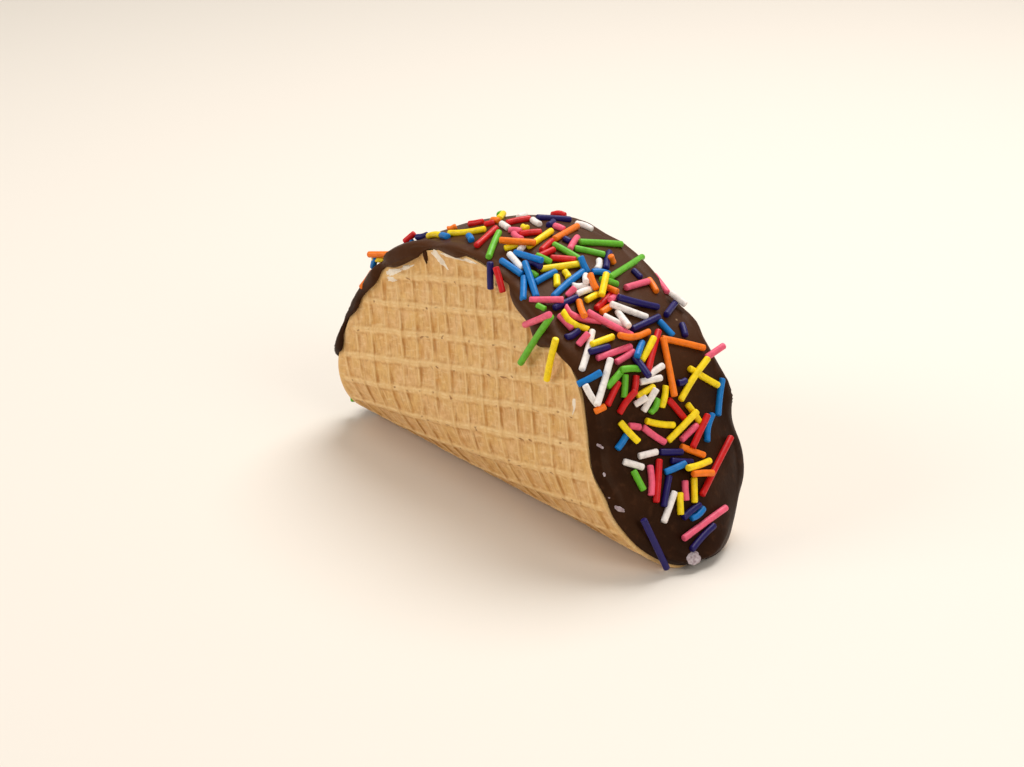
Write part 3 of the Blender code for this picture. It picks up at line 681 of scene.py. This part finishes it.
def coat_ring(angle):
    """Closed outline of the coat at one place along the rim."""
    ring = []
    for side in (-1, 1):
        edge = lap(angle, side)
        whole = edge + cut_edge()
        chain = [brink(angle, side, way, 0) for way in (-cut_edge(), min(edge, 0) - EDGE_CORNER, edge)]
        for share in EDGE_WAYS:
            way = share * whole
            lift = coat_lift(angle, side, way)
            point = brink(angle, side, edge - way, lift)
            chain.append(brink(angle, side, edge - way, lift + ripple(point) * min(way / MM, 1)))
        ring.append(chain if side < 0 else chain[::-1])
    top = []
    for i in range(1, TOP_STEPS):
        point = coat_top(angle, 2 * i / TOP_STEPS - 1)
        top.append(point + outward(angle) * ripple(point))
    under = [crown_point(angle, 1 - 2 * i / UNDER_STEPS, GAP) for i in range(1, UNDER_STEPS)]
    return [Vector((p.x, p.y, max(p.z, GAP))) for p in ring[0] + top + ring[1]] + under


def chocolate_coat():
    bm = bmesh.new()
    rows = [[bm.verts.new(p) for p in coat_ring(angle)] for angle in rim_angles(STATIONS, LOWEST_SLICE)]
    for one, two in zip(rows, rows[1:]):
        for i in range(len(one)):
            j = (i + 1) % len(one)
            bm.faces.new((one[i], one[j], two[j], two[i]))
    for row in (rows[0], rows[-1]):
        bm.faces.new(row)
    coat = add_object("poured_coat", bm)
    coat.data.shade_smooth()
    coat.data.set_sharp_from_angle(angle=COAT_SHARP)
    return coat


def seat(angle, across):
    """Middle of a sprinkle pressed into the coat, with the coat's directions along, over and out."""
    step = 0.01
    here = coat_top(angle, across)
    along = (coat_top(angle + step, across) - here).normalized()
    over = coat_top(angle, across + step) - here
    over = (over - along * over.dot(along)).normalized()
    out = over.cross(along)
    if out.dot(outward(angle)) < 0:
        out = -out
    return here + out * SPRINKLE_RADIUS * (1 - SINK), along, over, out


def single_ends(place, place_end):
    """Two ends of a sprinkle laid over the coat between two places, and its direction out."""
    start, end = seat(*place)[0], seat(*place_end)[0]
    middle, _, _, out = seat((place[0] + place_end[0]) / 2, (place[1] + place_end[1]) / 2)
    bulge = out * max((middle - (start + end) / 2).dot(out), 0)
    return start + bulge, end + bulge, out


def view_axes():
    """Right, up and back of the photographed view, and where it is taken from."""
    right = Vector((math.cos(CAMERA_TURN), math.sin(CAMERA_TURN), 0))
    back = Vector((math.sin(CAMERA_TURN) * math.cos(CAMERA_RISE),
                   -math.cos(CAMERA_TURN) * math.cos(CAMERA_RISE), math.sin(CAMERA_RISE)))
    return right, back.cross(right), back, Vector(CAMERA_AIM) + back * CAMERA_DISTANCE


def pixel_of(point):
    """Column and row that show a point in the photographed view."""
    right, up, back, place = view_axes()
    offset = point - place
    scale = CAMERA_LENS / SENSOR_WIDTH * PHOTO_SIZE[0] / -offset.dot(back)
    column, row = PHOTO_SIZE[0] / 2 + scale * offset.dot(right), PHOTO_SIZE[1] / 2 - scale * offset.dot(up)
    return Vector((column, row))


def moved_to(place, pixel):
    """Move a place on the coat by Newton's steps until a sprinkle's end there shows at a pixel."""
    angle, across = place
    for _ in range(NEWTON_ROUNDS):
        here = pixel_of(seat(angle, across)[0])
        miss = pixel - here
        if miss.length < NEAR_ENOUGH:
            break
        by_angle = (pixel_of(seat(angle + TINY, across)[0]) - here) / TINY
        by_across = (pixel_of(seat(angle, across + TINY)[0]) - here) / TINY
        area = by_angle.x * by_across.y - by_angle.y * by_across.x
        if abs(area) < EDGE_ON:
            break
        turn = (miss.x * by_across.y - miss.y * by_across.x) / area
        shift = (by_angle.x * miss.y - by_angle.y * miss.x) / area
        limit = max(abs(turn), abs(shift), LONGEST_STEP) / LONGEST_STEP
        angle, across = angle + turn / limit, min(max(across + shift / limit, -FARTHEST), FARTHEST)
    return angle, across


def coat_lattice():
    """Evenly spaced places on the coat, nearest to the photographed view first, with their pixels."""
    lattice = []
    for angle in range(*LATTICE_ANGLES):
        for step in range(-LATTICE_STEPS, LATTICE_STEPS + 1):
            place = math.radians(angle), FARTHEST * step / LATTICE_STEPS
            end = seat(*place)[0]
            lattice.append(((end - view_axes()[3]).length, place, pixel_of(end)))
    return sorted(lattice, key=lambda entry: entry[0])


def place_seen(lattice, pixel):
    """Place on the coat, on the side turned to the view, where a sprinkle's end shows at a pixel."""
    best, least = None, math.inf
    for _, place, shown in lattice:
        if (shown - pixel).length < LATTICE_REACH:
            found = moved_to(place, pixel)
            miss = (pixel_of(seat(*found)[0]) - pixel).length
            if miss < least:
                best, least = found, miss
            if miss < WELL_LAID:
                break
    return best


def closest_shares(start, end, other_start, other_end):
    """Where two rods come closest, as shares of their lengths."""
    one, two, apart = end - start, other_end - other_start, start - other_start
    skew = one.length_squared * two.length_squared - one.dot(two) ** 2
    share = 0.5
    if skew > (MERGE * MM) ** 2:
        share = (one.dot(two) * two.dot(apart) - two.length_squared * one.dot(apart)) / skew
    share = min(max(share, 0.0), 1.0)
    other = min(max((two.dot(apart) + share * one.dot(two)) / two.length_squared, 0.0), 1.0)
    share = min(max((other * one.dot(two) - one.dot(apart)) / one.length_squared, 0.0), 1.0)
    return share, other


def lean(start, end, out, piled):
    """Lean a sprinkle on the ones laid before it that it crosses, and keep it off the floor."""
    clear = PILED * SPRINKLE_RADIUS
    for other_start, other_end in piled:
        share, other = closest_shares(start, end, other_start, other_end)
        apart = start.lerp(end, share) - other_start.lerp(other_end, other)
        if apart.length < clear:
            lift = out * (clear - apart.dot(out))
            if share > 0.5:
                end = end + lift / share
            else:
                start = start + lift / (1 - share)
    lowest = Vector((0, 0, max(GAP + SPRINKLE_RADIUS - min(start.z, end.z), 0)))
    return start + lowest, end + lowest


def lay(lattice, pixels, piled):
    """Ends and bend of a sprinkle that shows between two pixels and leans on the ones laid before it."""
    places = [place_seen(lattice, pixel) for pixel in pixels[:2]]
    aims = pixels[:2]
    least = math.inf
    for _ in range(AIM_ROUNDS):
        flat = single_ends(*places)
        leant = lean(*flat, piled)
        misses = [pixel - pixel_of(end) for pixel, end in zip(pixels, leant)]
        worst = max(miss.length for miss in misses)
        if worst < least:
            least, ends, middle = worst, leant, (flat[0] + flat[1]) / 2
        if worst < WELL_LAID:
            break
        aims = [aim + miss * AIM_SHARE for aim, miss in zip(aims, misses)]
        places = [moved_to(place, aim) for place, aim in zip(places, aims)]
    bend = None
    if len(pixels) > 2:
        bend = seat(*place_seen(lattice, pixels[2]))[0] - middle
    return ends, bend

def crowd_angle(share):
    """Angle along the rim below which the given share of the strewn sprinkles lies."""
    first, last = CROWD[0][0], CROWD[-1][0]
    steps = 200
    places = [first + (last - first) * i / steps for i in range(steps)]
    weights = [smooth_through(CROWD, place) for place in places]
    left = share * sum(weights)
    for place, weight in zip(places, weights):
        if left < weight:
            return math.radians(place)
        left -= weight
    return math.radians(last)


def strewn_centre(index):
    """Place on the coat of one of the strewn sprinkles."""
    golden = (math.sqrt(5) - 1) / 2
    angle = crowd_angle((index + 0.5) / STREWN_COUNT)
    return angle, STREWN_WIDTH * (2 * ((index * golden) % 1) - 1)


def strewn_ends(draw, index):
    """Two ends of one of the strewn sprinkles, and its direction out."""
    half = draw.uniform(*SPRINKLE_LENGTHS) / 2
    heading = draw.uniform(0, math.pi)
    centre, along, over, out = seat(*strewn_centre(index))
    reach = (along * math.cos(heading) + over * math.sin(heading)) * half
    return centre - reach, centre + reach, out


def overhang_ends(held, beyond, free, inside):
    """The same for one that rests on the coat at the near rim and reaches over the flap."""
    held, free = math.radians(held), math.radians(free)
    lift = coat_lift(held, -1, lap(held, -1)) + SPRINKLE_RADIUS * (1 - SINK)
    rest = brink(held, -1, GAP, lift)
    x, s = flap_place(free, rim_radius(free) - inside * MM)
    tip = fold_point(x, s, SPRINKLE_RADIUS + 1.5 * GAP)
    return rest + (rest - tip).normalized() * beyond * MM, tip, outward(held)


def add_rod(bm, start, end, bend):
    """Sugar rod with rounded ends, slightly bent."""
    axis = (end - start).normalized()
    across = axis.orthogonal().normalized()
    length = (end - start).length
    profile = [(-0.5, 0.0), (-0.5, 0.5), (-0.43, 0.82), (-0.26, 0.97), (0.0, 1.0)]
    profile = [(place * SPRINKLE_RADIUS, width) for place, width in profile]
    profile += [(length * share, 1.0) for share in (0.3, 0.5, 0.7)]
    profile += [(length - place, width) for place, width in reversed(profile[:5])]
    rows = []
    for place, width in profile:
        share = min(max(place / length, 0), 1)
        middle = start + axis * place + bend * 4 * share * (1 - share)
        turn = 2 * math.pi / SPRINKLE_SIDES
        rows.append([bm.verts.new(middle + Matrix.Rotation(turn * i, 3, axis) @ across
                                  * SPRINKLE_RADIUS * max(width, 0.02)) for i in range(SPRINKLE_SIDES)])
    for one, two in zip(rows, rows[1:]):
        for i in range(SPRINKLE_SIDES):
            j = (i + 1) % SPRINKLE_SIDES
            bm.faces.new((one[i], one[j], two[j], two[i]))
    bm.faces.new(rows[0][::-1])
    bm.faces.new(rows[-1])


def standing_ends(angle, across, lift, angle_end, across_end, lift_end):
    start, _, _, out = seat(math.radians(angle), across)
    end, _, _, out_end = seat(math.radians(angle_end), across_end)
    return start + out * lift * MM, end + out_end * lift_end * MM, out


def sprinkles():
    """One piece of joined rods for each colour."""
    lattice = coat_lattice()
    names = [row[0] for row in OVERHANGS + READ + STANDING]
    piled = []
    for row in OVERHANGS:
        piled.append(lean(*overhang_ends(*row[1:]), piled))
    read_bends = {}
    for row in READ:
        pixels = [Vector(row[i:i + 2]) for i in range(1, len(row), 2)]
        ends, bend = lay(lattice, pixels, piled)
        if bend:
            read_bends[len(piled)] = bend
        piled.append(ends)
    for row in STANDING:
        piled.append(lean(*standing_ends(*row[1:]), piled))
    draw = random.Random(SPRINKLE_SEED)
    tint = random.Random(COLOUR_SEED)
    for index in range(STREWN_COUNT):
        rod = strewn_ends(draw, index)
        name = tint.choice(list(SPRINKLE_COLOURS))
        angle, across = strewn_centre(index)
        if angle > READ_END - READ_SLANT * across:
            piled.append(lean(*rod, piled))
            names.append(name)
    bends = [Vector([tint.uniform(-1, 1) for _ in range(3)]) * tint.uniform(0, BEND) for _ in piled]
    bends = [read_bends.get(index, bend) for index, bend in enumerate(bends)]
    heaps = {name: bmesh.new() for name in SPRINKLE_COLOURS}
    for name, bend, (start, end) in zip(names, bends, piled):
        add_rod(heaps[name], start, end, bend)
    pieces = []
    for name, colour in SPRINKLE_COLOURS.items():
        heap = add_object(f"sprinkles_{name}", heaps[name])
        heap.data.shade_smooth()
        pieces.append(dress(heap, sprinkle_finish(name, colour), "chocolate"))
    return pieces


def smears(name, places, height):
    """Thin streaks that dried on the near flap, each running out to a narrow end."""
    bm = bmesh.new()
    rings, sides = 6, 32
    for number, (angle, inside, angle_end, inside_end, half) in enumerate(places):
        ends = []
        for place, depth in ((angle, inside), (angle_end, inside_end)):
            place = math.radians(place)
            ends.append(Vector(flap_place(place, rim_radius(place) - depth * MM)))
        middle, reach = (ends[0] + ends[1]) / 2, (ends[1] - ends[0]) / 2
        across = Vector((-reach.y, reach.x)).normalized() * half * MM
        rows = []
        for ring in range(rings + 1):
            share = ring / rings
            row = []
            for i in range(sides):
                turn = 2 * math.pi * i / sides
                around = Vector((3 * math.cos(turn), 3 * math.sin(turn), number))
                uneven = 1 + SMEAR_UNEVEN * noise.noise(around)
                wide = math.sin(turn) * (1 - SMEAR_NARROWING * math.cos(turn))
                flat = middle + (reach * math.cos(turn) + across * wide) * share * uneven
                row.append(bm.verts.new(fold_point(*flat, height * (1 - share**2) + relief(*flat))))
            rows.append(row)
        for one, two in zip(rows, rows[1:]):
            for i in range(sides):
                j = (i + 1) % sides
                bm.faces.new((one[i], two[i], two[j], one[j]))
    bmesh.ops.remove_doubles(bm, verts=bm.verts, dist=MERGE)
    made = add_object(name, bm)
    made.data.shade_smooth()
    return made


def sugar_lumps():
    """Uneven flat domes that stuck to the coat."""
    bm = bmesh.new()
    for number, (angle, across, long, wide, height, heading) in enumerate(LUMPS):
        middle, along, over, out = seat(math.radians(angle), across)
        middle -= out * SPRINKLE_RADIUS * (1 - SINK)
        heading = math.radians(heading)
        length = along * math.cos(heading) + over * math.sin(heading)
        width = over * math.cos(heading) - along * math.sin(heading)
        made = bmesh.ops.create_icosphere(bm, subdivisions=4, radius=1)
        for vert in made["verts"]:
            uneven = 1 + LUMP_UNEVEN * noise.noise(vert.co * 1.4 + Vector((number, 0, 0)))
            x, y, z = vert.co * uneven * MM
            vert.co = middle + length * x * long + width * y * wide + out * z * height
    made = add_object("sugar_lumps", bm)
    made.data.shade_smooth()
    return made


def camera():
    cam = bpy.data.objects.new("camera", bpy.data.cameras.new("camera"))
    bpy.context.scene.collection.objects.link(cam)
    bpy.context.scene.camera = cam
    axes = view_axes()
    cam.matrix_world = Matrix([[axis[i] for axis in axes] for i in range(3)] + [(0, 0, 0, 1)])
    cam.data.lens = CAMERA_LENS
    cam.data.sensor_width = SENSOR_WIDTH
    cam.data.clip_start = 0.01


def light(name, place, aim, size, power, colour=(1, 1, 1)):
    lamp = bpy.data.lights.new(name, "AREA")
    lamp.shape = "DISK"
    lamp.size = size
    lamp.energy = power
    lamp.color = colour
    made = bpy.data.objects.new(name, lamp)
    made.location = place
    made.rotation_euler = (Vector(place) - Vector(aim)).to_track_quat("Z", "Y").to_euler()
    bpy.context.scene.collection.objects.link(made)


def studio():
    """Pale floor and soft light."""
    bm = bmesh.new()
    bmesh.ops.create_grid(bm, x_segments=1, y_segments=1, size=3)
    floor = add_object("floor", bm)
    finish = Finish("pale_floor", {"Base Color": shade(226, 217, 205), "Roughness": 0.6})
    floor.data.materials.append(finish.material)
    world = bpy.data.worlds.new("studio")
    world.use_nodes = True
    world.node_tree.nodes["Background"].inputs["Color"].default_value = (1, 0.95, 0.88, 1)
    world.node_tree.nodes["Background"].inputs["Strength"].default_value = 0.40
    bpy.context.scene.world = world
    light("top_softbox", (-0.15, 0.35, 0.75), (0, 0, 0.03), 0.6, 6.4)
    light("front_softbox", (-0.35, -0.75, 0.5), (0, 0, 0.03), 0.5, 3.0)
    light("right_softbox", (0.75, -0.05, 0.5), (0, 0, 0.03), 0.5, 2.1)
    bpy.context.scene.view_settings.view_transform = "Standard"


dress(waffle_shell(), waffle_finish(), "waffle", "waffle_shell")
chocolate = chocolate_finish()
dress(chocolate_coat(), chocolate, "chocolate", "chocolate_coating")
for piece in sprinkles():
    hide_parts("chocolate_coating")
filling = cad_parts["ice_cream"]
cream = cream_finish()
filling.data.materials[0] = cream
dress(smears("cream_smears", SMEARS, SMEAR_HEIGHT), cream, "ice_cream")
dress(smears("chocolate_drip", DRIPS, DRIP_HEIGHT), chocolate, "chocolate")
dress(sugar_lumps(), sugar_finish(), "chocolate")
camera()
studio()
